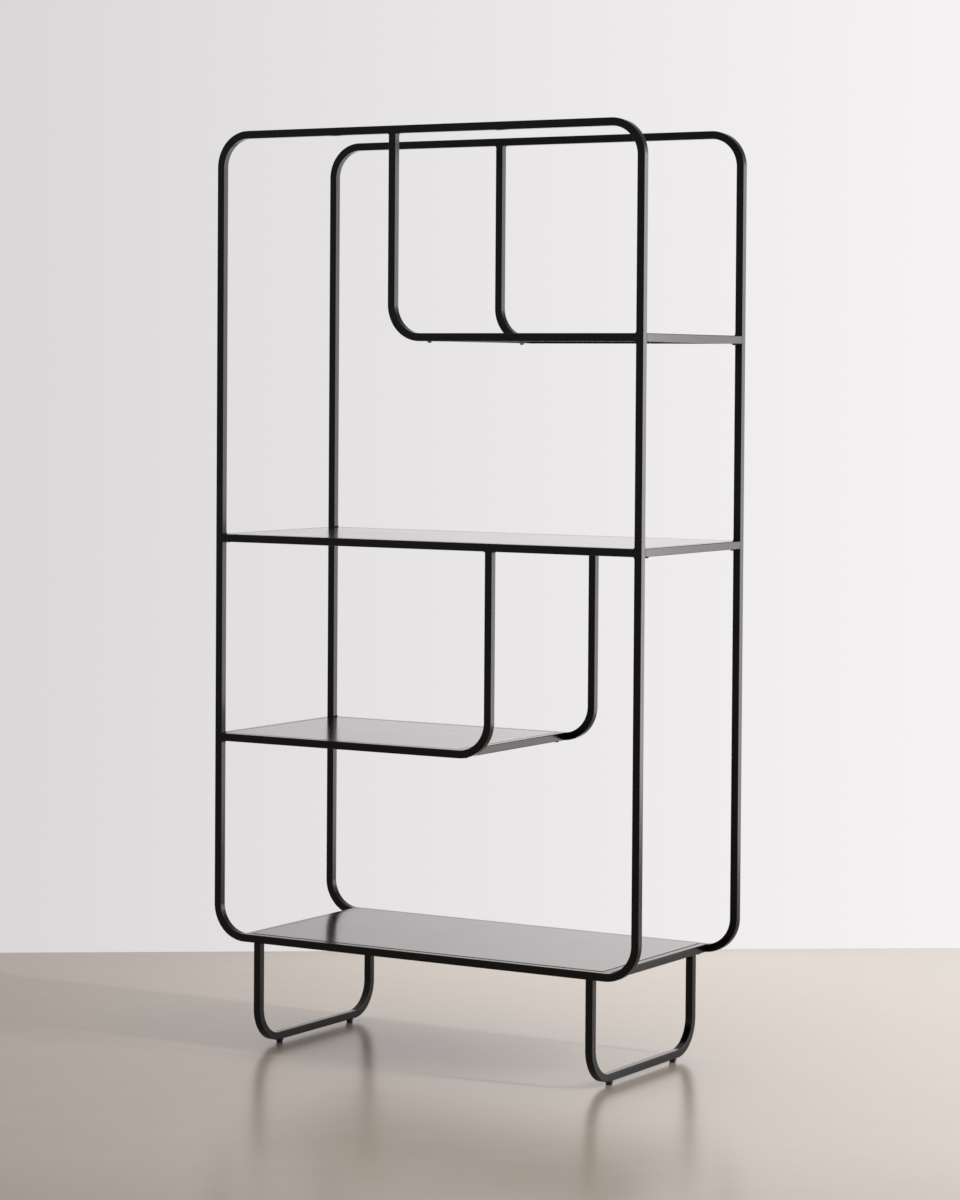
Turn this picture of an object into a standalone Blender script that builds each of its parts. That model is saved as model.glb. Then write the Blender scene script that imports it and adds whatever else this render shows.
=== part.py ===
"""Display shelf: two frames of bent square tube, joined by cross rails that carry four sheet-steel shelves.

Metres, +Z up, the front towards -Y, the origin on the floor below the middle.
"""

from math import cos, pi, radians, sin
from typing import NamedTuple

import bmesh
import bpy
from mathutils import Matrix, Vector

# The two frames, measured over their outer faces
FRAME_WIDTH = 1.000
FRAME_HEIGHT = 1.668
SHELF_DEPTH = 0.432

# Square tube, the same for the frames, the cross rails and the legs
TUBE = 0.016
TUBE_WALL = 0.0012
TUBE_CORNER = 0.0015
CORNER_STEPS = 2
BEND_RADIUS = 0.066
BEND_STEPS = 8
DRAIN_HOLE_RADIUS = 0.0025

# Heights of the tubes' upper faces above the frame's underside
LOWER_SHELF_TOP = 0.428
MIDDLE_SHELF_TOP = 0.840
TOP_SHELF_TOP = 1.254

# The two bent tubes inside each frame: upright faces, from the frame's left side
TOP_SHELF_UPRIGHT = 0.418
LOWER_SHELF_UPRIGHT = 0.665

# Where a shelf ends at a bend, its cross rail stands this far in from the bent tube's outer face
CROSS_RAIL_INSET = 0.070

# Shelf panels: sheet-steel pans with edges folded down, level with the tubes round them, but for the
# bottom one, which stands a little above them
SHEET = 0.0012
PAN_FOLD_RADIUS = 0.0015
PAN_FOLD_STEPS = 3
PAN_FLANGE = 0.015
BOTTOM_PAN_PROUD = 0.0007
PAN_SIDE_GAP = 0.0003
PAN_EDGE_GAP = 0.0008

# Hat-section stiffener under the two wide pans
STIFFENER_DEPTH = 0.011
STIFFENER_TOP_WIDTH = 0.050
STIFFENER_FLANGE = 0.018
STIFFENER_END_GAP = 0.030

# Sled legs and where they stand
LEG_DROP = 0.210
LEG_INSET = 0.100
FOOT_INSET = 0.084

# Welded stubs that the cross rails and the legs slide over
STUB_LENGTH = 0.028
STUB_CLEARANCE = 0.0004
STUB_CHAMFER = 0.001
WELD_OVERLAP = 0.0006

# Button-head screws that lock the stubs
SCREW_RADIUS = 0.0025
SCREW_LENGTH = 0.010
SCREW_TIP_CHAMFER = 0.0006
SCREW_HEAD_RADIUS = 0.00475
SCREW_HEAD_HEIGHT = 0.00275
SCREW_HEAD_RIM = 0.0006
SCREW_HEAD_ARC = radians(75)
SCREW_HEAD_STEPS = 3
SOCKET_ACROSS_FLATS = 0.003
SOCKET_DEPTH = 0.0017
SCREW_FROM_FRAME = 0.019

# Levelling feet, from the floor up: pad, hexagon collar, insert flange
PAD_RADIUS = 0.0066
PAD_HEIGHT = 0.0042
PAD_CHAMFER = 0.0006
PAD_CHAMFER_HEIGHT = 0.0012
PAD_SOCKET_DEPTH = 0.0026
STUD_RADIUS = 0.003
STUD_CHAMFER = 0.0006
STUD_ABOVE_FLOOR = 0.0205
STUD_PIN_RADIUS = 0.0024
STUD_DISC_RADIUS = 0.0042
STUD_DISC_HEIGHT = 0.0009
COLLAR_ACROSS_FLATS = 0.014
COLLAR_HEIGHT = 0.0025
INSERT_FLANGE_RADIUS = 0.0065
INSERT_FLANGE_HEIGHT = 0.0007
INSERT_RADIUS = 0.0045
INSERT_DEPTH = 0.011

# Clearances and roundness
GAP = 0.0003
RUNNING_GAP = 0.0003
DRILL_OVERRUN = 0.001
ROUND_STEPS = 16
SCREW_STEPS = 12
HEXAGON = 6
SHARP_EDGE = radians(35)
MERGE_DISTANCE = 0.000001

# Worked out from the sizes above
FOOT_HEIGHT = PAD_HEIGHT + GAP + COLLAR_HEIGHT + GAP + INSERT_FLANGE_HEIGHT
BASE = FOOT_HEIGHT + LEG_DROP
TOP = BASE + FRAME_HEIGHT
RIGHT = FRAME_WIDTH / 2
REAR = SHELF_DEPTH / 2
HALF = TUBE / 2
STUB_HALF = HALF - TUBE_WALL - STUB_CLEARANCE
SCREW_HOLE = SCREW_RADIUS + GAP
OUTER_WALL_DRILL = 2 * TUBE_WALL + STUB_CLEARANCE
TOP_UPRIGHT_X = TOP_SHELF_UPRIGHT - RIGHT + HALF
LOWER_UPRIGHT_X = LOWER_SHELF_UPRIGHT - RIGHT - HALF
LEG_X = RIGHT - LEG_INSET - HALF
INSET_TO_CENTRE = CROSS_RAIL_INSET + HALF


class Shelf(NamedTuple):
    """One shelf: its tubes' upper face, its pan's height above it and the middles of its cross rails."""

    name: str
    top: float
    proud: float
    left: float
    right: float
    stiffened: bool


BOTTOM_SHELF_END = INSET_TO_CENTRE - RIGHT
LOWER_SHELF_END = LOWER_UPRIGHT_X + HALF - INSET_TO_CENTRE
TOP_SHELF_END = TOP_UPRIGHT_X - HALF + INSET_TO_CENTRE
SHELVES = [
    Shelf("bottom_shelf", BASE + TUBE, BOTTOM_PAN_PROUD, BOTTOM_SHELF_END, -BOTTOM_SHELF_END, True),
    Shelf("lower_shelf", BASE + LOWER_SHELF_TOP, 0.0, HALF - RIGHT, LOWER_SHELF_END, False),
    Shelf("middle_shelf", BASE + MIDDLE_SHELF_TOP, 0.0, HALF - RIGHT, RIGHT - HALF, True),
    Shelf("top_shelf", BASE + TOP_SHELF_TOP, 0.0, TOP_SHELF_END, RIGHT - HALF, False),
]
FRAMES = {"front": -1, "rear": 1}
SIDES = {"left": -1, "right": 1}


# Scene and materials


def clear_scene():
    """Removes the objects that the file opened with."""
    for thing in list(bpy.data.objects):
        bpy.data.objects.remove(thing, do_unlink=True)


def collection(name, hidden=False):
    """A new collection in the scene."""
    made = bpy.data.collections.new(name)
    bpy.context.scene.collection.children.link(made)
    made.hide_render = hidden
    return made


def finish(name, colour, roughness, metallic):
    """A plain Principled material."""
    made = bpy.data.materials.new(name)
    made.use_nodes = True
    shader = made.node_tree.nodes["Principled BSDF"]
    shader.inputs["Base Color"].default_value = (*colour, 1.0)
    shader.inputs["Roughness"].default_value = roughness
    shader.inputs["Metallic"].default_value = metallic
    return made


clear_scene()
PARTS = collection("display_shelf")
HELPERS = collection("display_shelf_cutters", hidden=True)
TUBE_COAT = finish("tube_black_coat", (0.012, 0.011, 0.011), 0.38, 0.0)
PANEL_COAT = finish("panel_black_coat", (0.014, 0.013, 0.013), 0.22, 0.0)
BLACK_SCREW = finish("black_oxide_screw", (0.018, 0.017, 0.016), 0.35, 0.9)
BLACK_ZINC = finish("black_zinc_steel", (0.022, 0.021, 0.022), 0.3, 0.9)
PAD_PLASTIC = finish("pad_plastic", (0.010, 0.010, 0.010), 0.5, 0.0)


# Meshes


def mesh_from(bm, name):
    """Ends an edit and keeps it as a mesh."""
    mesh = bpy.data.meshes.new(name)
    bm.to_mesh(mesh)
    bm.free()
    return mesh


def part(name, mesh, material, location=(0.0, 0.0, 0.0), rotation=(0.0, 0.0, 0.0)):
    """A finished piece in the object's own collection."""
    made = bpy.data.objects.new(name, mesh)
    made.location = location
    made.rotation_euler = rotation
    if material.name not in mesh.materials:
        mesh.materials.append(material)
    PARTS.objects.link(made)
    return made


def helper(name, data):
    """A cutter or a guide, which is no piece of the shelf."""
    made = bpy.data.objects.new(name, data)
    made.hide_render = True
    made.display_type = "WIRE"
    HELPERS.objects.link(made)
    return made


def boolean(target, other, operation):
    """Adds a Boolean to the target, UNION or DIFFERENCE."""
    change = target.modifiers.new(operation.title(), "BOOLEAN")
    change.operation = operation
    change.solver = "EXACT"
    change.object = other


def evaluated_mesh(thing):
    """The mesh that an object's curve or modifiers give, its doubles merged."""
    bpy.context.view_layer.update()
    graph = bpy.context.evaluated_depsgraph_get()
    mesh = bpy.data.meshes.new_from_object(thing.evaluated_get(graph))
    bm = bmesh.new()
    bm.from_mesh(mesh)
    bmesh.ops.remove_doubles(bm, verts=bm.verts, dist=MERGE_DISTANCE)
    bm.to_mesh(mesh)
    bm.free()
    return mesh


def add_box(bm, low, high, chamfer=0.0):
    """A box from its two corners, with its edges chamfered."""
    low, high = Vector(low), Vector(high)
    place = Matrix.Translation((low + high) / 2) @ Matrix.Diagonal((*(high - low), 1.0))
    box = bmesh.ops.create_cube(bm, size=1.0, matrix=place)
    if chamfer:
        edges = list({edge for vert in box["verts"] for edge in vert.link_edges})
        bmesh.ops.bevel(bm, geom=edges, offset=chamfer, segments=1, affect="EDGES")


def add_cylinder(bm, centre, axis, radius, length, sides=ROUND_STEPS):
    """A cylinder about its centre, or a prism where it has few sides."""
    turn = Vector(axis).to_track_quat("Z", "Y").to_matrix().to_4x4()
    bmesh.ops.create_cone(
        bm,
        cap_ends=True,
        segments=sides,
        radius1=radius,
        radius2=radius,
        depth=length,
        matrix=Matrix.Translation(centre) @ turn,
    )


def turned(name, profile, steps=ROUND_STEPS, closed=False):
    """A helper turned about Z from (radius, height) points that run down its outer side.

    A closed profile joins its last point to its first, as a ring's does.
    """
    mesh = bpy.data.meshes.new(name)
    edges = [(i, i + 1) for i in range(len(profile) - 1)]
    if closed:
        edges.append((len(profile) - 1, 0))
    mesh.from_pydata([(radius, 0.0, height) for radius, height in profile], edges, [])
    made = helper(name, mesh)
    spin = made.modifiers.new("Turn", "SCREW")
    spin.steps = steps
    spin.render_steps = steps
    spin.use_merge_vertices = True
    spin.merge_threshold = MERGE_DISTANCE
    return made


def across_corners(across_flats):
    """Radius to the corners of a hexagon."""
    return across_flats / 2 / cos(pi / HEXAGON)


# Tubes


def tube_profile():
    """Outline of the tube, a square with rounded corners."""
    curve = bpy.data.curves.new("tube_profile", "CURVE")
    curve.dimensions = "2D"
    inner = HALF - TUBE_CORNER
    points = []
    for quarter in range(4):
        turn = quarter * pi / 2
        middle = (inner * (cos(turn) - sin(turn)), inner * (sin(turn) + cos(turn)))
        for step in range(CORNER_STEPS + 1):
            angle = turn + pi / 2 * step / CORNER_STEPS
            points.append((middle[0] + TUBE_CORNER * cos(angle), middle[1] + TUBE_CORNER * sin(angle)))
    spline = curve.splines.new("POLY")
    spline.points.add(len(points) - 1)
    for spot, (x, y) in zip(spline.points, points):
        spot.co = (x, y, 0.0, 1.0)
    spline.use_cyclic_u = True
    return helper("tube_profile", curve)


PROFILE = tube_profile()


def bent_line(corners, closed=False):
    """Points of a line through the corners, each bend an arc of the tube's bend radius."""
    corners = [Vector(corner) for corner in corners]
    points = [(corners[-1] + corners[0]) / 2] if closed else [corners[0]]
    bends = range(len(corners)) if closed else range(1, len(corners) - 1)
    for i in bends:
        corner = corners[i]
        back = (corners[i - 1] - corner).normalized()
        ahead = (corners[(i + 1) % len(corners)] - corner).normalized()
        centre = corner + (back + ahead) * BEND_RADIUS
        for step in range(BEND_STEPS + 1):
            angle = pi / 2 * step / BEND_STEPS
            points.append(centre - (ahead * cos(angle) + back * sin(angle)) * BEND_RADIUS)
    if not closed:
        points.append(corners[-1])
    return points


def tube(name, points, closed=False):
    """Hollow square tube along the points, open at its ends."""
    curve = bpy.data.curves.new(name, "CURVE")
    curve.dimensions = "3D"
    curve.bevel_mode = "OBJECT"
    curve.bevel_object = PROFILE
    spline = curve.splines.new("POLY")
    spline.points.add(len(points) - 1)
    for spot, point in zip(spline.points, points):
        spot.co = (*point, 1.0)
    spline.use_cyclic_u = closed
    guide = helper(name + "_line", curve)
    mesh = evaluated_mesh(guide)
    bpy.data.objects.remove(guide, do_unlink=True)
    bm = bmesh.new()
    bm.from_mesh(mesh)
    bmesh.ops.recalc_face_normals(bm, faces=bm.faces)
    bm.to_mesh(mesh)
    bm.free()
    made = part(name, mesh, TUBE_COAT)
    wall = made.modifiers.new("Wall", "SOLIDIFY")
    wall.thickness = TUBE_WALL
    wall.offset = -1.0
    wall.use_even_offset = True
    return made


def stub_out(bm, x, face_y, z, inward):
    """A stub for a cross rail, standing on a frame tube's inner face."""
    start = face_y - inward * WELD_OVERLAP
    end = face_y + inward * STUB_LENGTH
    low = (x - STUB_HALF, min(start, end), z - STUB_HALF)
    high = (x + STUB_HALF, max(start, end), z + STUB_HALF)
    add_box(bm, low, high, STUB_CHAMFER)


def stub_down(bm, x, y, face_z):
    """A stub for a leg, hanging from the bottom rail."""
    low = (x - STUB_HALF, y - STUB_HALF, face_z - STUB_LENGTH)
    high = (x + STUB_HALF, y + STUB_HALF, face_z + WELD_OVERLAP)
    add_box(bm, low, high, STUB_CHAMFER)


def weld_and_drill(target, stubs, holes):
    """Joins the stubs to a tube, then cuts the holes."""
    boolean(target, helper(target.name + "_stubs", mesh_from(stubs, target.name + "_stubs")), "UNION")
    boolean(target, helper(target.name + "_holes", mesh_from(holes, target.name + "_holes")), "DIFFERENCE")


def cross_rail_stubs(target, rails, side, extra=None):
    """Welds and drills the stubs of the cross rails that end on this tube."""
    face_y = side * (REAR - TUBE)
    stubs = bmesh.new()
    holes = bmesh.new()
    for x, top in rails:
        stub_out(stubs, x, face_y, top - HALF, -side)
        screw = (x, face_y - side * SCREW_FROM_FRAME, top - HALF)
        add_cylinder(holes, screw, (0, 0, 1), SCREW_HOLE, 2 * (STUB_HALF + DRILL_OVERRUN))
    if extra:
        extra(stubs, holes)
    weld_and_drill(target, stubs, holes)


def frame_tubes(name, side):
    """The four tubes of one frame: the closed loop, the middle rail and the two bent tubes inside it."""
    y = side * (REAR - HALF)
    bottom, lower, middle, top = SHELVES
    outer_x = RIGHT - HALF
    low_z = BASE + HALF
    high_z = TOP - HALF
    inner_x = RIGHT - TUBE - GAP

    corners = [(outer_x, y, low_z), (outer_x, y, high_z), (-outer_x, y, high_z), (-outer_x, y, low_z)]
    loop = tube(name + "_outer_loop", bent_line(corners, closed=True), closed=True)
    rails = [(bottom.left, bottom.top), (bottom.right, bottom.top), (middle.left, middle.top)]
    rails += [(middle.right, middle.top), (lower.left, lower.top), (top.right, top.top)]

    def leg_stubs(stubs, holes):
        for x in (-LEG_X, LEG_X):
            stub_down(stubs, x, y, BASE)
            screw = (x, y, BASE - SCREW_FROM_FRAME)
            add_cylinder(holes, screw, (0, 1, 0), SCREW_HOLE, 2 * (STUB_HALF + DRILL_OVERRUN))
        drain_length = 2 * (TUBE_WALL + DRILL_OVERRUN)
        add_cylinder(holes, (0, y, BASE), (0, 0, 1), DRAIN_HOLE_RADIUS, drain_length)

    cross_rail_stubs(loop, rails, side, leg_stubs)

    middle_z = middle.top - HALF
    tube(name + "_middle_rail", [Vector((-inner_x, y, middle_z)), Vector((inner_x, y, middle_z))])

    top_z = top.top - HALF
    corners = [(TOP_UPRIGHT_X, y, TOP - TUBE - GAP), (TOP_UPRIGHT_X, y, top_z), (inner_x, y, top_z)]
    bent = tube(name + "_top_shelf_tube", bent_line(corners))
    cross_rail_stubs(bent, [(top.left, top.top)], side)

    lower_z = lower.top - HALF
    under_middle = middle.top - TUBE - GAP
    corners = [(-inner_x, y, lower_z), (LOWER_UPRIGHT_X, y, lower_z), (LOWER_UPRIGHT_X, y, under_middle)]
    bent = tube(name + "_lower_shelf_tube", bent_line(corners))
    cross_rail_stubs(bent, [(lower.right, lower.top)], side)


# Shelves


def cross_rail(shelf, side_name, x):
    """A straight tube between the frames, with a screw hole below each end."""
    end = REAR - TUBE - GAP
    z = shelf.top - HALF
    rail = tube(f"{shelf.name}_cross_rail_{side_name}", [Vector((x, -end, z)), Vector((x, end, z))])
    holes = bmesh.new()
    for side in FRAMES.values():
        hole = (x, side * (REAR - TUBE - SCREW_FROM_FRAME), shelf.top - TUBE)
        add_cylinder(holes, hole, (0, 0, 1), SCREW_HOLE, OUTER_WALL_DRILL)
    boolean(rail, helper(rail.name + "_holes", mesh_from(holes, rail.name + "_holes")), "DIFFERENCE")


def panel(shelf):
    """A pan of sheet steel with its four edges folded down, between the rails."""
    half_y = REAR - TUBE - PAN_EDGE_GAP
    low_x = shelf.left + HALF + PAN_SIDE_GAP
    high_x = shelf.right - HALF - PAN_SIDE_GAP
    high_z = shelf.top + shelf.proud
    bm = bmesh.new()
    add_box(bm, (low_x, -half_y, high_z - PAN_FLANGE), (high_x, half_y, high_z))
    under = [face for face in bm.faces if face.normal.z < -0.5]
    bmesh.ops.delete(bm, geom=under, context="FACES")
    folds = [edge for edge in bm.edges if len(edge.link_faces) == 2]
    bmesh.ops.bevel(
        bm, geom=folds, offset=PAN_FOLD_RADIUS, segments=PAN_FOLD_STEPS, profile=0.5, affect="EDGES"
    )
    made = part(shelf.name + "_panel", mesh_from(bm, shelf.name + "_panel"), PANEL_COAT)
    wall = made.modifiers.new("Sheet", "SOLIDIFY")
    wall.thickness = SHEET
    wall.offset = -1.0
    wall.use_even_offset = True


def stiffener(shelf):
    """A hat section along the middle of a wide pan, against the underside of its sheet."""
    low_x = shelf.left + HALF + STIFFENER_END_GAP
    high_x = shelf.right - HALF - STIFFENER_END_GAP
    high_z = shelf.top + shelf.proud - SHEET - GAP
    low_z = high_z - STIFFENER_DEPTH
    half_hat = STIFFENER_TOP_WIDTH / 2
    half_all = half_hat + STIFFENER_FLANGE
    outline = [(-half_all, high_z), (-half_hat, high_z), (-half_hat, low_z)]
    outline += [(-y, z) for y, z in reversed(outline)]
    bm = bmesh.new()
    start = [bm.verts.new((low_x, y, z)) for y, z in outline]
    edges = [bm.edges.new(pair) for pair in zip(start, start[1:])]
    grown = bmesh.ops.extrude_edge_only(bm, edges=edges)
    moved = [item for item in grown["geom"] if isinstance(item, bmesh.types.BMVert)]
    bmesh.ops.translate(bm, verts=moved, vec=(high_x - low_x, 0, 0))
    for face in bm.faces:
        face.normal_update()
        if face.normal.z < -0.5:
            bmesh.ops.reverse_faces(bm, faces=bm.faces)
            break
    made = part(shelf.name + "_stiffener", mesh_from(bm, shelf.name + "_stiffener"), PANEL_COAT)
    wall = made.modifiers.new("Sheet", "SOLIDIFY")
    wall.thickness = SHEET
    wall.offset = -1.0
    wall.use_even_offset = True


# Screws


def screw_mesh():
    """Button-head screw, its shank up along +Z from the head's bearing face at the origin."""
    crown = SCREW_HEAD_HEIGHT - SCREW_HEAD_RIM
    tip = SCREW_LENGTH - SCREW_TIP_CHAMFER
    profile = [(0.0, SCREW_LENGTH), (SCREW_RADIUS - SCREW_TIP_CHAMFER, SCREW_LENGTH), (SCREW_RADIUS, tip)]
    profile += [(SCREW_RADIUS, 0.0), (SCREW_HEAD_RADIUS, 0.0)]
    for step in range(SCREW_HEAD_STEPS + 1):
        angle = SCREW_HEAD_ARC * step / SCREW_HEAD_STEPS
        drop = crown * sin(angle) / sin(SCREW_HEAD_ARC)
        profile.append((SCREW_HEAD_RADIUS * cos(angle), -SCREW_HEAD_RIM - drop))
    profile.append((0.0, -SCREW_HEAD_HEIGHT))
    body = turned("screw_body", profile, SCREW_STEPS)
    bm = bmesh.new()
    socket_top = SOCKET_DEPTH - SCREW_HEAD_HEIGHT
    socket_low = -SCREW_HEAD_HEIGHT - DRILL_OVERRUN
    centre = (0, 0, (socket_top + socket_low) / 2)
    corner = across_corners(SOCKET_ACROSS_FLATS)
    add_cylinder(bm, centre, (0, 0, 1), corner, socket_top - socket_low, sides=HEXAGON)
    socket = helper("screw_socket", mesh_from(bm, "screw_socket"))
    boolean(body, socket, "DIFFERENCE")
    mesh = evaluated_mesh(body)
    bpy.data.objects.remove(body, do_unlink=True)
    bpy.data.objects.remove(socket, do_unlink=True)
    mesh.name = "button_head_screw"
    mesh.set_sharp_from_angle(angle=SHARP_EDGE)
    return mesh


def shelf_screws(shelf, mesh):
    """Four screws, up through the cross rails' lower walls into the stubs."""
    for end, side in FRAMES.items():
        for hand, x in (("left", shelf.left), ("right", shelf.right)):
            place = (x, side * (REAR - TUBE - SCREW_FROM_FRAME), shelf.top - TUBE - GAP)
            part(f"{shelf.name}_screw_{end}_{hand}", mesh, BLACK_SCREW, place)


# Legs and feet


def leg(hand, x, screws):
    """A bent tube that joins both frames' bottom rails and stands on two feet."""
    y = REAR - HALF
    low_z = FOOT_HEIGHT + HALF
    high_z = BASE - GAP
    made = tube(f"leg_{hand}", bent_line([(x, -y, high_z), (x, -y, low_z), (x, y, low_z), (x, y, high_z)]))
    holes = bmesh.new()
    for end, side in FRAMES.items():
        screw_z = BASE - SCREW_FROM_FRAME
        inner_y = side * (REAR - TUBE)
        add_cylinder(holes, (x, inner_y, screw_z), (0, 1, 0), SCREW_HOLE, OUTER_WALL_DRILL)
        insert = (x, side * (REAR - FOOT_INSET), FOOT_HEIGHT)
        add_cylinder(holes, insert, (0, 0, 1), INSERT_RADIUS + GAP, 2 * (TUBE_WALL + DRILL_OVERRUN))
        place = (x, inner_y - side * GAP, screw_z)
        part(f"leg_screw_{end}_{hand}", screws, BLACK_SCREW, place, (-side * pi / 2, 0.0, 0.0))
    boolean(made, helper(made.name + "_holes", mesh_from(holes, made.name + "_holes")), "DIFFERENCE")


def insert_mesh():
    """Threaded insert, from the underside of the leg tube: a flange below it and a barrel inside."""
    bore = STUD_RADIUS + RUNNING_GAP
    profile = [(INSERT_RADIUS, INSERT_DEPTH), (INSERT_RADIUS, -GAP), (INSERT_FLANGE_RADIUS, -GAP)]
    profile += [(INSERT_FLANGE_RADIUS, -INSERT_FLANGE_HEIGHT), (bore, -INSERT_FLANGE_HEIGHT)]
    profile += [(bore, INSERT_DEPTH)]
    body = turned("insert_body", profile, closed=True)
    mesh = evaluated_mesh(body)
    bpy.data.objects.remove(body, do_unlink=True)
    mesh.name = "threaded_insert"
    mesh.set_sharp_from_angle(angle=SHARP_EDGE)
    return mesh


def pad_mesh():
    """Round pad on the floor, with a socket that holds the stud's disc."""
    socket_low = PAD_HEIGHT - PAD_SOCKET_DEPTH
    neck = STUD_PIN_RADIUS + RUNNING_GAP
    roof = socket_low + 2 * RUNNING_GAP + STUD_DISC_HEIGHT
    cavity = STUD_DISC_RADIUS + RUNNING_GAP
    profile = [(0.0, socket_low), (cavity, socket_low), (cavity, roof), (neck, roof), (neck, PAD_HEIGHT)]
    profile += [(PAD_RADIUS, PAD_HEIGHT), (PAD_RADIUS, PAD_CHAMFER_HEIGHT)]
    profile += [(PAD_RADIUS - PAD_CHAMFER, 0.0), (0.0, 0.0)]
    body = turned("pad_body", profile)
    mesh = evaluated_mesh(body)
    bpy.data.objects.remove(body, do_unlink=True)
    mesh.name = "foot_pad"
    mesh.set_sharp_from_angle(angle=SHARP_EDGE)
    return mesh


def stud_mesh():
    """Threaded stud with a hexagon collar and, below it, a pin and disc that turn in the pad."""
    disc_low = PAD_HEIGHT - PAD_SOCKET_DEPTH + RUNNING_GAP
    disc_high = disc_low + STUD_DISC_HEIGHT
    collar_low = PAD_HEIGHT + GAP
    collar_high = collar_low + COLLAR_HEIGHT
    middle = (collar_low + collar_high) / 2
    profile = [(0.0, STUD_ABOVE_FLOOR), (STUD_RADIUS - STUD_CHAMFER, STUD_ABOVE_FLOOR)]
    profile += [(STUD_RADIUS, STUD_ABOVE_FLOOR - STUD_CHAMFER), (STUD_RADIUS, middle)]
    profile += [(STUD_PIN_RADIUS, middle), (STUD_PIN_RADIUS, disc_high), (STUD_DISC_RADIUS, disc_high)]
    profile += [(STUD_DISC_RADIUS, disc_low), (0.0, disc_low)]
    body = turned("stud_body", profile)
    bm = bmesh.new()
    corner = across_corners(COLLAR_ACROSS_FLATS)
    add_cylinder(bm, (0, 0, middle), (0, 0, 1), corner, COLLAR_HEIGHT, sides=HEXAGON)
    collar = helper("stud_collar", mesh_from(bm, "stud_collar"))
    boolean(body, collar, "UNION")
    mesh = evaluated_mesh(body)
    bpy.data.objects.remove(body, do_unlink=True)
    bpy.data.objects.remove(collar, do_unlink=True)
    mesh.name = "foot_stud"
    mesh.set_sharp_from_angle(angle=SHARP_EDGE)
    return mesh


def feet():
    """Inserts, studs and pads. Each pad slides on the object's Z axis through its own empty."""
    insert = insert_mesh()
    pad = pad_mesh()
    stud = stud_mesh()
    for end, side in FRAMES.items():
        for hand, way in SIDES.items():
            x = way * LEG_X
            y = side * (REAR - FOOT_INSET)
            part(f"foot_insert_{end}_{hand}", insert, BLACK_ZINC, (x, y, FOOT_HEIGHT))
            travel = bpy.data.objects.new(f"foot_travel_{end}_{hand}", None)
            travel.location = (x, y, 0.0)
            PARTS.objects.link(travel)
            part(f"foot_pad_{end}_{hand}", pad, PAD_PLASTIC).parent = travel
            part(f"foot_stud_{end}_{hand}", stud, BLACK_ZINC).parent = travel


def build():
    """Every piece of the shelf."""
    for name, side in FRAMES.items():
        frame_tubes(name, side)
    screws = screw_mesh()
    for shelf in SHELVES:
        cross_rail(shelf, "left", shelf.left)
        cross_rail(shelf, "right", shelf.right)
        panel(shelf)
        if shelf.stiffened:
            stiffener(shelf)
        shelf_screws(shelf, screws)
    for hand, way in SIDES.items():
        leg(hand, way * LEG_X, screws)
    feet()


build()
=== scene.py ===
"""Display shelf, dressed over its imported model.

Two frames of bent square tube, cross rails that carry four sheet-steel shelves, two sled legs and four
levelling feet. Metres, +Z up, the front towards -Y, the origin on the floor below the middle.
"""

from __future__ import annotations

import logging
from collections.abc import Callable, Iterator, Sequence
from contextlib import contextmanager
from dataclasses import dataclass, field, replace
from enum import Enum
from math import cos, pi, radians, sin
from typing import Any, Union

import bpy
from mathutils import Matrix, Vector


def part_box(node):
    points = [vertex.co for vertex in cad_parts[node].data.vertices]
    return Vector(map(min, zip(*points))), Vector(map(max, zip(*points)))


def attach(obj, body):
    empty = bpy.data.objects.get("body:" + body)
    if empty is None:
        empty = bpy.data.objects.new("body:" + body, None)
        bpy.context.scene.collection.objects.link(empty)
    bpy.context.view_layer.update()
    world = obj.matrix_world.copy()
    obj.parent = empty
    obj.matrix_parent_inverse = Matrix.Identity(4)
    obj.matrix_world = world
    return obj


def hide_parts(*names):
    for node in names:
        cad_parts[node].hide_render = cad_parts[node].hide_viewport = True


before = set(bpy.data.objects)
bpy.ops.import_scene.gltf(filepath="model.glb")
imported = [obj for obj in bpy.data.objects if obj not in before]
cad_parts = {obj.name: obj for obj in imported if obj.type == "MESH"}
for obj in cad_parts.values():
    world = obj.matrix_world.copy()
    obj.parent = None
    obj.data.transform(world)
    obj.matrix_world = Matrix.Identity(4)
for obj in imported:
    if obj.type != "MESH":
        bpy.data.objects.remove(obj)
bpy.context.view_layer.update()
log = logging.getLogger("display_shelf")

Thing = bpy.types.Object
Colour = tuple[float, float, float]
Pair = tuple[float, float]
Number = Union["Value", float]


class Axis:
    """The three directions of the shelf's frame."""

    X = Vector((1.0, 0.0, 0.0))
    Y = Vector((0.0, 1.0, 0.0))
    Z = Vector((0.0, 0.0, 1.0))


class End(Enum):
    """The two frames, front and rear."""

    FRONT = "front"
    REAR = "rear"

    @property
    def side(self) -> int:
        """Which way this frame stands from the middle, along Y."""
        return -1 if self is End.FRONT else 1


class Hand(Enum):
    """Left and right, seen from the front."""

    LEFT = "left"
    RIGHT = "right"


class Slot(Enum):
    """The record's material slots."""

    TUBE = "tube_coat"
    PANEL = "panel_coat"
    SCREW = "black_screw"
    FOOT_STEEL = "black_zinc"
    PAD = "pad_plastic"


# Shaders


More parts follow.
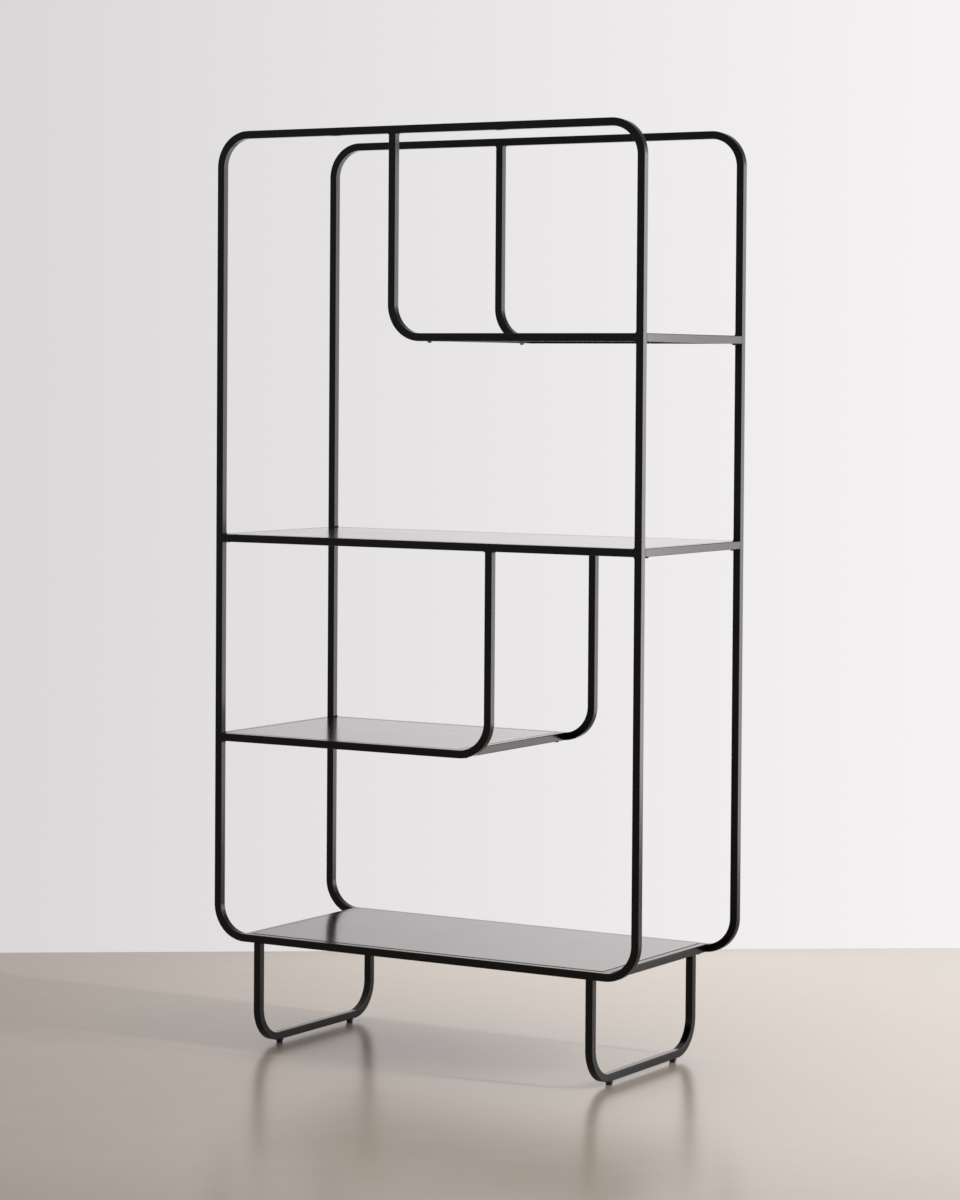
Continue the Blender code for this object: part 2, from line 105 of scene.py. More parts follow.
class Value:
    """A node's output that takes part in Python sums. Each operation adds a Math node."""

    def __init__(self, graph: Graph, socket: bpy.types.NodeSocket) -> None:
        """Keeps the socket and the graph it belongs to."""
        self.graph = graph
        self.socket = socket

    def __add__(self, other: Number) -> Value:
        """This plus the other."""
        return self.graph.maths("ADD", self, other)

    def __radd__(self, other: Number) -> Value:
        """The other plus this."""
        return self.graph.maths("ADD", other, self)

    def __sub__(self, other: Number) -> Value:
        """This less the other."""
        return self.graph.maths("SUBTRACT", self, other)

    def __rsub__(self, other: Number) -> Value:
        """The other less this."""
        return self.graph.maths("SUBTRACT", other, self)

    def __mul__(self, other: Number) -> Value:
        """This times the other."""
        return self.graph.maths("MULTIPLY", self, other)

    def __rmul__(self, other: Number) -> Value:
        """The other times this."""
        return self.graph.maths("MULTIPLY", other, self)


class Graph:
    """A node tree that is built in Python."""

    def __init__(self, tree: bpy.types.NodeTree) -> None:
        """Starts from an empty tree."""
        self.tree = tree
        tree.nodes.clear()

    def add(
        self, kind: str, settings: dict[str, Any], values: dict[int | str, Any], output: int = 0
    ) -> Value:
        """Adds a node of any type.

        Args:
            kind: The node's type.
            settings: Its own settings, such as an operation, which are set first.
            values: A number, colour or link for each socket, by name or place.
            output: Which of its outputs is wanted.

        Returns:
            That output.
        """
        node = self.tree.nodes.new(kind)
        for name, setting in settings.items():
            setattr(node, name, setting)
        for key, value in values.items():
            if isinstance(value, Value):
                self.tree.links.new(value.socket, node.inputs[key])
            else:
                node.inputs[key].default_value = value
        return Value(self, node.outputs[output] if node.outputs else None)

    def maths(self, operation: str, first: Number, second: Number) -> Value:
        """One sum on two numbers."""
        return self.add("ShaderNodeMath", {"operation": operation}, {0: first, 1: second})

    def clamp(self, value: Value) -> Value:
        """The value kept between 0 and 1."""
        return self.add("ShaderNodeClamp", {}, {"Value": value})

    def between(self, value: Value, low: float, high: float) -> Value:
        """A smooth rise from 0 to 1 as the value goes from low to high."""
        settings = {"interpolation_type": "SMOOTHSTEP"}
        return self.add("ShaderNodeMapRange", settings, {"Value": value, 1: low, 2: high, 3: 0.0, 4: 1.0})

    def fade(self, first: Number, second: Number, share: Value) -> Value:
        """A number between two numbers."""
        return first + (second - first) * share

    def dot(self, vector: Value, along: Vector) -> Value:
        """How far a vector reaches along a direction."""
        settings = {"operation": "DOT_PRODUCT"}
        return self.add("ShaderNodeVectorMath", settings, {0: vector, 1: along}, output=1)

    def stretched(self, vector: Value, scale: Sequence[float]) -> Value:
        """A vector with each of its axes scaled."""
        return self.add("ShaderNodeMapping", {}, {"Vector": vector, "Scale": scale})

    def mix(self, share: Number, first: Value | Sequence[float], second: Value | Sequence[float]) -> Value:
        """A colour between two colours."""
        return self.add("ShaderNodeMix", {"data_type": "RGBA"}, {0: share, 6: first, 7: second}, output=2)

    def noise(self, vector: Value, scale: float, detail: float = 2.0, roughness: float = 0.5) -> Value:
        """Soft noise from 0 to 1, with this many cells to a metre."""
        values = {"Vector": vector, "Scale": scale, "Detail": detail, "Roughness": roughness}
        return self.add("ShaderNodeTexNoise", {}, values)

    def cells(self, vector: Value, scale: float) -> Value:
        """Distance to the middle of the nearest cell, 0 to about 1."""
        return self.add("ShaderNodeTexVoronoi", {}, {"Vector": vector, "Scale": scale})

    def bump(self, height: Value, distance: float, strength: float) -> Value:
        """A normal that follows a height given in units of the distance."""
        values = {"Height": height, "Distance": distance, "Strength": strength}
        return self.add("ShaderNodeBump", {}, values)


def rgba(colour: Colour, share: float = 1.0) -> tuple[float, float, float, float]:
    """A colour at a share of its brightness, with its alpha."""
    return (colour[0] * share, colour[1] * share, colour[2] * share, 1.0)


class Surface(Graph):
    """A material with one Principled shader."""

    def __init__(self, name: str, constants: dict[str, Any]) -> None:
        """Makes the material and sets what is the same all over it.

        Args:
            name: The material's name.
            constants: Numbers and colours for the shader's own sockets.
        """
        self.material = bpy.data.materials.new(name)
        self.material.use_nodes = True
        super().__init__(self.material.node_tree)
        self.shader = self.tree.nodes.new("ShaderNodeBsdfPrincipled")
        for socket, constant in constants.items():
            self.shader.inputs[socket].default_value = constant
        output = self.tree.nodes.new("ShaderNodeOutputMaterial")
        self.tree.links.new(self.shader.outputs[0], output.inputs["Surface"])
        self.place = self.add("ShaderNodeTexCoord", {}, {}, output=3)

    def feed(self, **values: Value) -> bpy.types.Material:
        """Links what changes over the surface.

        Args:
            values: What feeds each of the shader's sockets, named with _ for a space.

        Returns:
            The finished material.
        """
        for name, value in values.items():
            self.tree.links.new(value.socket, self.shader.inputs[name.replace("_", " ")])
        return self.material

    def shaded(self, share: Value, colour: Colour, darkest: float, palest: float) -> Value:
        """A colour that changes between two shares of its brightness."""
        return self.mix(share, rgba(colour, darkest), rgba(colour, palest))


@dataclass(frozen=True)
class PowderCoat:
    """Cured powder on steel, with a fine orange peel and slight changes of gloss."""

    name: str
    colour: Colour
    roughness: float
    gloss_change: float
    peel_cells: float
    peel_height: float
    sag_height: float
    specular: float = 0.5
    broad_cells: float = 9.0
    broad_gloss: float = 0.7
    fine_cells: float = 160.0
    fine_gloss: float = 0.3
    sag_cells: float = 22.0
    shades: Pair = (0.82, 1.18)
    dust_cells: float = 210.0
    dust_edge: Pair = (0.10, 0.02)
    dust_colour: Colour = (0.05, 0.048, 0.045)
    dust_share: float = 0.25
    dust_roughness: float = 0.08

    def make(self) -> bpy.types.Material:
        """Makes the coat's shader.

        Returns:
            Its material.
        """
        coat = Surface(self.name, {"IOR": 1.5, "Specular IOR Level": self.specular})
        broad = coat.noise(coat.place, self.broad_cells, detail=4.0)
        fine = coat.noise(coat.place, self.fine_cells, detail=3.0)
        peel = coat.noise(coat.place, self.peel_cells, detail=1.0)
        sag = coat.noise(coat.place, self.sag_cells, detail=0.0)
        dust = coat.between(coat.cells(coat.place, self.dust_cells), *self.dust_edge)
        shade = coat.shaded(broad, self.colour, *self.shades)
        shade = coat.mix(dust * self.dust_share, shade, rgba(self.dust_colour))
        change = broad * self.broad_gloss + fine * self.fine_gloss - 0.5
        gloss = self.roughness + change * self.gloss_change + dust * self.dust_roughness
        height = peel + sag * (self.sag_height / self.peel_height)
        relief = coat.bump(height, self.peel_height, 1.0)
        return coat.feed(Base_Color=shade, Roughness=gloss, Normal=relief)


@dataclass(frozen=True)
class BlackenedSteel:
    """Machined steel with a black finish: turning lines, and brighter where the finish is thin."""

    name: str
    colour: Colour
    worn_colour: Colour
    roughness: float
    line_cells: float
    line_stretch: Sequence[float] = (1.0, 1.0, 9.0)
    line_height: float = 0.00001
    patch_cells: float = 420.0
    patch_gloss: float = 0.16
    shades: Pair = (0.75, 1.25)
    speck_cells: float = 2100.0
    speck_edge: Pair = (0.62, 0.75)
    speck_share: float = 0.3

    def make(self) -> bpy.types.Material:
        """Makes the steel's shader.

        Returns:
            Its material.
        """
        steel = Surface(self.name, {"Metallic": 0.85})
        patches = steel.noise(steel.place, self.patch_cells, detail=3.0)
        specks = steel.between(steel.noise(steel.place, self.speck_cells, detail=1.0), *self.speck_edge)
        lines = steel.noise(steel.stretched(steel.place, self.line_stretch), self.line_cells, detail=1.0)
        shade = steel.shaded(patches, self.colour, *self.shades)
        shade = steel.mix(specks * self.speck_share, shade, rgba(self.worn_colour))
        gloss = self.roughness + (patches - 0.5) * self.patch_gloss
        relief = steel.bump(lines, self.line_height, 0.8)
        return steel.feed(Base_Color=shade, Roughness=gloss, Normal=relief)


@dataclass(frozen=True)
class MouldedPlastic:
    """Black moulded plastic with a fine spark-eroded grain."""

    name: str
    colour: Colour
    roughness: float
    broad_cells: float = 300.0
    shades: Pair = (0.8, 1.3)
    grain_cells: float = 3200.0
    grain_gloss: float = 0.2
    grain_height: float = 0.00002

    def make(self) -> bpy.types.Material:
        """Makes the plastic's shader.

        Returns:
            Its material.
        """
        plastic = Surface(self.name, {"IOR": 1.46})
        grain = plastic.noise(plastic.place, self.grain_cells, detail=2.0)
        broad = plastic.noise(plastic.place, self.broad_cells)
        shade = plastic.shaded(broad, self.colour, *self.shades)
        gloss = self.roughness + (grain - 0.5) * self.grain_gloss
        relief = plastic.bump(grain, self.grain_height, 0.7)
        return plastic.feed(Base_Color=shade, Roughness=gloss, Normal=relief)


@dataclass(frozen=True)
class PolishedFloor:
    """Ground and sealed mineral floor: warm, softly mottled and glossy at a low angle. Its colour is
    painted paler towards the right as painted window light, and darker towards the front as painted shade.
    """

    dark: Colour = (0.410, 0.350, 0.282)
    light: Colour = (0.485, 0.433, 0.370)
    roughness: float = 0.25
    cloud_cells: float = 1.3
    cloud_weight: float = 0.60
    cloud_gloss: float = 0.03
    mottle_cells: float = 7.0
    mottle_weight: float = 0.80
    mottle_gloss: float = 0.04
    mottle_relief: float = 3.0
    relief_height: float = 0.0002
    grit_cells: float = 140.0
    grit_weight: float = 0.08
    # Painted window light: where across the floor, and how strongly, its colour is painted paler towards
    # the right.
    painted_window_light_across: Pair = (-1.1, 1.5)
    painted_window_light_weight: float = 0.45
    dark_offset: float = 0.45
    # Painted shade: where, and how strongly, the floor's colour is painted darker towards the front.
    painted_front_shade_reach: Pair = (0.7, 1.7)
    painted_front_shade_share: float = 0.5
    painted_front_shade_dark: float = 0.55
    across: Vector = field(default_factory=lambda: Vector(Axis.X))

    def make(self) -> bpy.types.Material:
        """Makes the floor's shader.

        Returns:
            Its material.
        """
        floor = Surface("polished_floor", {"IOR": 1.5})
        clouds = floor.noise(floor.place, self.cloud_cells, detail=4.0)
        mottle = floor.noise(floor.place, self.mottle_cells, detail=4.0)
        grit = floor.noise(floor.place, self.grit_cells)
        # Painted light: the floor's colour is painted paler towards the right, where the window's light
        # falls.
        painted_window_light = floor.between(floor.dot(floor.place, self.across), *self.painted_window_light_across)
        # Painted shade: the floor's colour is painted darker towards the front.
        painted_front_shade = floor.between(floor.dot(floor.place, self.across.cross(Axis.Z)), *self.painted_front_shade_reach)
        share = painted_window_light * self.painted_window_light_weight + clouds * self.cloud_weight + mottle * self.mottle_weight
        share = floor.clamp(share + grit * self.grit_weight - self.dark_offset)
        shade = floor.mix(share, rgba(self.dark), rgba(self.light))
        shade = floor.mix(painted_front_shade * self.painted_front_shade_share, shade, rgba(self.dark, self.painted_front_shade_dark))
        gloss = self.roughness + (mottle - 0.5) * self.mottle_gloss + (clouds - 0.5) * self.cloud_gloss
        relief = floor.bump(mottle * self.mottle_relief, self.relief_height, 0.5)
        return floor.feed(Base_Color=shade, Roughness=gloss, Normal=relief)


class Finishes:
    """Every finish on the shelf, one for each of the record's slots, and the weld's."""

    def __init__(self) -> None:
        """Makes the materials."""
        tube = PowderCoat(
            name="satin_tube_coat",
            colour=(0.0028, 0.0026, 0.0026),
            roughness=0.20,
            gloss_change=0.08,
            peel_cells=700.0,
            peel_height=0.0000035,
            sag_height=0.00003,
            specular=0.25,
        )
        panel = PowderCoat(
            name="smooth_panel_coat",
            colour=(0.0060, 0.0055, 0.0054),
            roughness=0.18,
            gloss_change=0.05,
            peel_cells=600.0,
            peel_height=0.0000015,
            sag_height=0.00003,
        )
        screw = BlackenedSteel(
            name="black_oxide_steel",
            colour=(0.030, 0.028, 0.027),
            worn_colour=(0.16, 0.15, 0.14),
            roughness=0.34,
            line_cells=900.0,
        )
        foot = BlackenedSteel(
            name="black_zinc_steel",
            colour=(0.034, 0.034, 0.037),
            worn_colour=(0.20, 0.20, 0.20),
            roughness=0.27,
            line_cells=1400.0,
        )
        pad = MouldedPlastic(name="pad_plastic", colour=(0.012, 0.012, 0.012), roughness=0.46)
        finishes = {Slot.TUBE: tube, Slot.PANEL: panel, Slot.SCREW: screw}
        finishes |= {Slot.FOOT_STEEL: foot, Slot.PAD: pad}
        self.weld = self.over_weld(tube).make()
        self.by_slot = {slot: finish.make() for slot, finish in finishes.items()}

    def over_weld(self, coat: PowderCoat) -> PowderCoat:
        """A coat as it lies over a weld: rougher, and with the weld's ripples under it.

        Args:
            coat: The coat on the tubes.

        Returns:
            The same coat on a weld.
        """
        return replace(
            coat,
            name="coated_weld",
            roughness=0.28,
            gloss_change=0.10,
            peel_cells=520.0,
            peel_height=0.00003,
            sag_height=0.00006,
        )


# Modelling


HEXAGON = 6


def hexagon_radius(flats: float) -> float:
    """A hexagon's radius to its corners, from its width across the flats."""
    return flats / 2 / cos(pi / HEXAGON)


def middle(node: str) -> tuple[float, float, float]:
    """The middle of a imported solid's box."""
    low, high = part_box(node)
    return (low.x + high.x) / 2, (low.y + high.y) / 2, (low.z + high.z) / 2


@dataclass(frozen=True)
class Bench:
    """Blender's own modelling tools, used as by hand."""

    merge: float = 0.00001
    smooth_angle: float = radians(32)
    round_sides: int = 48
    bar_sides: int = 24

    def take(self, thing: Thing) -> None:
        """Selects one object alone and makes it active.

        Args:
            thing: The object.
        """
        bpy.ops.object.select_all(action="DESELECT")
        thing.select_set(True)
        bpy.context.view_layer.objects.active = thing

    def added(self, primitive: Callable[..., Any], **settings: Any) -> Thing:
        """Adds a primitive with its place in its mesh.

        Args:
            primitive: The operator that adds it.
            settings: The operator's settings.

        Returns:
            The new object, active and alone selected.
        """
        bpy.ops.object.select_all(action="DESELECT")
        primitive(**settings)
        bpy.ops.object.transform_apply(location=True, rotation=True, scale=True)
        return bpy.context.active_object

    @contextmanager
    def editing(self, thing: Thing) -> Iterator[None]:
        """Edit mode on one object alone, with everything on it selected.

        Args:
            thing: The object.

        Returns:
            A context that goes back to object mode at its end.
        """
        self.take(thing)
        bpy.ops.object.mode_set(mode="EDIT")
        bpy.ops.mesh.select_mode(type="VERT")
        bpy.ops.mesh.select_all(action="SELECT")
        yield
        bpy.ops.object.mode_set(mode="OBJECT")

    def only(self, thing: Thing, wanted: Callable[[Vector], bool]) -> None:
        """Selects, in edit mode, the points that are wanted and no others.

        Args:
            thing: The object in edit mode.
            wanted: Says whether a point at this place is wanted.
        """
        bpy.ops.mesh.select_all(action="DESELECT")
        bpy.ops.object.mode_set(mode="OBJECT")
        for vertex in thing.data.vertices:
            vertex.select = wanted(vertex.co)
        bpy.ops.object.mode_set(mode="EDIT")

    def plate(self, size: float, centre: Vector, facing: Vector) -> Thing:
        """A square face about a centre."""
        turn = facing.to_track_quat("Z", "Y").to_euler()
        return self.added(bpy.ops.mesh.primitive_plane_add, size=size, location=centre, rotation=turn)

    def block(self, low: Vector, high: Vector) -> Thing:
        """A block from its two corners."""
        centre, size = (low + high) / 2, high - low
        return self.added(bpy.ops.mesh.primitive_cube_add, size=1.0, location=centre, scale=size)

    def bar(self, centre: Vector, along: Vector, radius: float, length: float) -> Thing:
        """A round bar for cutting.

        Args:
            centre: Its middle.
            along: The way it runs.
            radius: Its radius.
            length: Its length.

        Returns:
            The bar.
        """
        return self.added(
            bpy.ops.mesh.primitive_cylinder_add,
            vertices=self.bar_sides,
            radius=radius,
            depth=length,
            location=centre,
            rotation=along.to_track_quat("Z", "Y").to_euler(),
        )

    def turned(self, rings: Sequence[tuple[float, float]], sides: int = 0, ring: bool = False) -> Thing:
        """A shape turned about Z.

        Args:
            rings: Radius and height of each step, in order along its outline.
            sides: How many sides it has, or 0 for a round one.
            ring: True for a shape with a hole through it, whose outline closes on itself.

        Returns:
            The closed shape.
        """
        radius, height = rings[0]
        thing = self.added(
            bpy.ops.mesh.primitive_circle_add,
            vertices=sides or self.round_sides,
            radius=radius,
            fill_type="NOTHING" if ring else "NGON",
            location=(0.0, 0.0, height),
        )
        with self.editing(thing):
            for radius_next, height_next in [*rings[1:], *(rings[:1] if ring else [])]:
                rise = {"value": (0.0, 0.0, height_next - height)}
                if ring:
                    bpy.ops.mesh.extrude_edges_move(TRANSFORM_OT_translate=rise)
                else:
                    bpy.ops.mesh.extrude_region_move(TRANSFORM_OT_translate=rise)
                share = radius_next / radius
                if share != 1.0:
                    bpy.ops.transform.resize(value=(share, share, 1.0), center_override=(0, 0, height_next))
                radius, height = radius_next, height_next
            self.tidy()
        return thing

    def tidy(self) -> None:
        """In edit mode, merges doubles and points the faces outwards."""
        bpy.ops.mesh.select_all(action="SELECT")
        bpy.ops.mesh.remove_doubles(threshold=self.merge)
        bpy.ops.mesh.normals_make_consistent(inside=False)

    def change(self, thing: Thing, kind: str, **settings: Any) -> None:
        """Adds a modifier and applies it at once.

        Args:
            thing: The object.
            kind: The modifier's type.
            settings: Its settings.
        """
        self.take(thing)
        modifier = thing.modifiers.new(kind.title(), kind)
        for name, setting in settings.items():
            setattr(modifier, name, setting)
        bpy.ops.object.modifier_apply(modifier=modifier.name)

    def joined(self, things: Sequence[Thing]) -> Thing:
        """Several objects made one, each with its own closed surface.

        Args:
            things: The objects, of which the first takes in the rest.

        Returns:
            The first of them.
        """
        if len(things) > 1:
            self.take(things[0])
            for thing in things:
                thing.select_set(True)
            bpy.ops.object.join()
        return things[0]

    def cut(self, thing: Thing, cutters: Sequence[Thing]) -> None:
        """Cuts shapes out of an object, and clears them away.

        Args:
            thing: The object.
            cutters: The shapes.
        """
        cutter = self.joined(cutters)
        self.change(thing, "BOOLEAN", operation="DIFFERENCE", solver="EXACT", object=cutter)
        bpy.data.objects.remove(cutter, do_unlink=True)

    def soften(self, thing: Thing) -> None:
        """Smooth shading that keeps flat faces flat and sharp edges sharp.

        Args:
            thing: The object.
        """
        self.take(thing)
        bpy.ops.object.shade_smooth_by_angle(angle=self.smooth_angle)
        self.change(thing, "WEIGHTED_NORMAL", keep_sharp=True, weight=90)

    def copied(self, thing: Thing, place: Matrix) -> Thing:
        """A copy with its own mesh, moved in its mesh to a place.

        Args:
            thing: The object.
            place: Where the copy goes.

        Returns:
            The copy.
        """
        copy = thing.copy()
        copy.data = thing.data.copy()
        bpy.context.scene.collection.objects.link(copy)
        self.settle(copy, place)
        return copy

    def settle(self, thing: Thing, place: Matrix) -> None:
        """Moves an object's mesh to a place, and leaves the object at the origin.

        Args:
            thing: The object.
            place: Where its mesh goes.
        """
        thing.matrix_world = place
        self.take(thing)
        bpy.ops.object.transform_apply(location=True, rotation=True, scale=True)

    def discard(self, thing: Thing) -> None:
        """Clears away a shape that was only copied from."""
        bpy.data.objects.remove(thing, do_unlink=True)


@dataclass(frozen=True)
class SquareTube:
    """Square steel tube stock and how it is bent and welded."""

    width: float = 0.016
    wall: float = 0.0012
    corner: float = 0.0015
    corner_steps: int = 6
    bend: float = 0.066
    bend_steps: int = 24
    fillet: float = 0.0032
    fillet_steps: int = 6
    ground_below: float = 0.00005

    @property
    def half(self) -> float:
        """Half the tube's width."""
        return self.width / 2

    def outline(self, bench: Bench, centre: Vector, along: Vector) -> Thing:
        """A face in the tube's outline.

        Args:
            bench: The modelling tools.
            centre: A point of the tube's middle line.
            along: The way the tube runs there.

        Returns:
            The face, square to the tube.
        """
        face = bench.plate(self.width, centre, along)
        with bench.editing(face):
            bpy.ops.mesh.bevel(
                offset=self.corner, offset_type="OFFSET", segments=self.corner_steps, affect="VERTICES"
            )
        return face

    def run(self, bench: Bench, line: Sequence[Vector], closed: bool = False) -> Thing:
        """Tube along a line whose corners are bends.

        Args:
            bench: The modelling tools.
            line: The ends and corners of the tube's middle line, or the corners alone if it is closed.
            closed: True for a loop.

        Returns:
            The hollow tube, open at its ends.
        """
        here = (line[-1] + line[0]) / 2 if closed else line[0]
        stops = [*line, here] if closed else list(line[1:])
        tube = self.outline(bench, here, (stops[0] - here).normalized())
        with bench.editing(tube):
            bpy.ops.mesh.delete(type="ONLY_FACE")
            bpy.ops.mesh.select_all(action="SELECT")
            for corner, after in zip(stops, stops[1:]):
                ahead = (corner - here).normalized()
                onward = (after - corner).normalized()
                bend_start = corner - ahead * self.bend
                self.draw(bend_start - here)
                bpy.ops.mesh.spin(
                    steps=self.bend_steps,
                    angle=pi / 2,
                    center=bend_start + onward * self.bend,
                    axis=onward.cross(ahead),
                )
                here = corner + onward * self.bend
            self.draw(stops[-1] - here)
            bench.tidy()
        bench.change(tube, "SOLIDIFY", thickness=self.wall, offset=-1.0, use_even_offset=True)
        return tube

    def draw(self, way: Vector) -> None:
        """In edit mode, draws the selected ring on along a straight."""
        bpy.ops.mesh.extrude_edges_move(TRANSFORM_OT_translate={"value": way})

    def weld(self, bench: Bench, foot: Vector, along: Vector) -> Thing:
        """The fillet of weld round a tube's end, ground flush on the frame's front and rear faces.

        Args:
            bench: The modelling tools.
            foot: Where the tube's middle line meets the face it stands on.
            along: The way the tube runs from there.

        Returns:
            The closed fillet.
        """
        reach = self.fillet
        steps = [(-self.corner, reach), (0.0, reach)]
        for step in range(1, self.fillet_steps + 1):
            turn = pi / 2 * step / self.fillet_steps
            flare = reach * (1 - sin(turn)) - self.ground_below * step / self.fillet_steps
            steps.append((reach * (1 - cos(turn)), flare))
        start, flare = steps[0]
        fillet = self.outline(bench, foot + along * start, along)
        with bench.editing(fillet):
            width = self.half
            for at, flare in steps:
                if at > start:
                    way = along * (at - start)
                    bpy.ops.mesh.extrude_region_move(TRANSFORM_OT_translate={"value": way})
                share = (self.half + flare) / width
                bpy.ops.transform.resize(value=(share,) * 3, center_override=foot + along * at)
                start, width = at, self.half + flare
            for side in (-1, 1):
                bpy.ops.mesh.select_all(action="SELECT")
                bpy.ops.mesh.bisect(
                    plane_co=foot + Axis.Y * side * (self.half - self.ground_below),
                    plane_no=Axis.Y * side,
                    use_fill=True,
                    clear_outer=True,
                )
            bench.tidy()
        return fillet


@dataclass(frozen=True)
class ShelfPlan:
    """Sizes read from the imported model, so that every piece stands where its solid does."""

    right: float
    top: float
    base: float
    middle_y: float
    inner_y: float
    middle_rail_z: float
    top_upright_x: float
    top_shelf_z: float
    lower_upright_x: float
    lower_shelf_z: float
    tube: SquareTube

    @classmethod
    def measured(cls) -> ShelfPlan:
        """Measures the solids' boxes.

        Returns:
            The plan.
        """
        rail_low, rail_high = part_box("rear_middle_rail")
        width = rail_high.y - rail_low.y
        middle_y, middle_rail_z = middle("rear_middle_rail")[1:]
        loop_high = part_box("rear_outer_loop")[1]
        return cls(
            right=loop_high.x,
            top=loop_high.z,
            base=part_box("bottom_shelf_cross_rail_left")[0].z,
            middle_y=middle_y,
            inner_y=rail_low.y,
            middle_rail_z=middle_rail_z,
            top_upright_x=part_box("rear_top_shelf_tube")[0].x + width / 2,
            top_shelf_z=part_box("rear_top_shelf_tube")[0].z + width / 2,
            lower_upright_x=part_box("rear_lower_shelf_tube")[1].x - width / 2,
            lower_shelf_z=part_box("rear_lower_shelf_tube")[0].z + width / 2,
            tube=SquareTube(width=width),
        )


@dataclass
class Assembly:
    """A part of the shelf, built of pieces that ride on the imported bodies."""

    bench: Bench
    plan: ShelfPlan
    finishes: Finishes

    def dress(
        self,
        piece: Thing,
        name: str,
        slot: Slot,
        nodes: Sequence[str] = (),
        body: str = "shelf",
        material: bpy.types.Material | None = None,
    ) -> None:
        """Names, finishes and mounts a piece.

        Args:
            piece: The finished shape.
            name: Its name.
            slot: The record's slot that its finish comes from.
            nodes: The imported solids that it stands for.
            body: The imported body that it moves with.
            material: A finish of its own, or None for the slot's.
        """
        piece.name = name
        piece.data.name = name
        piece.data.materials.clear()
        piece.data.materials.append(material or self.finishes.by_slot[slot])
        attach(piece, body)
        if nodes:
            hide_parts(*nodes)
        log.info("%s: %d faces on %s", name, len(piece.data.polygons), body)


# The cross rails that each tube of a frame has welded stubs for, by shelf and side.
STUBS_ON = {
    "outer_loop": ("bottom_left", "bottom_right", "middle_left", "middle_right", "lower_left", "top_right"),
    "top_shelf_tube": ("top_left",),
    "lower_shelf_tube": ("lower_right",),
    "middle_rail": (),
}


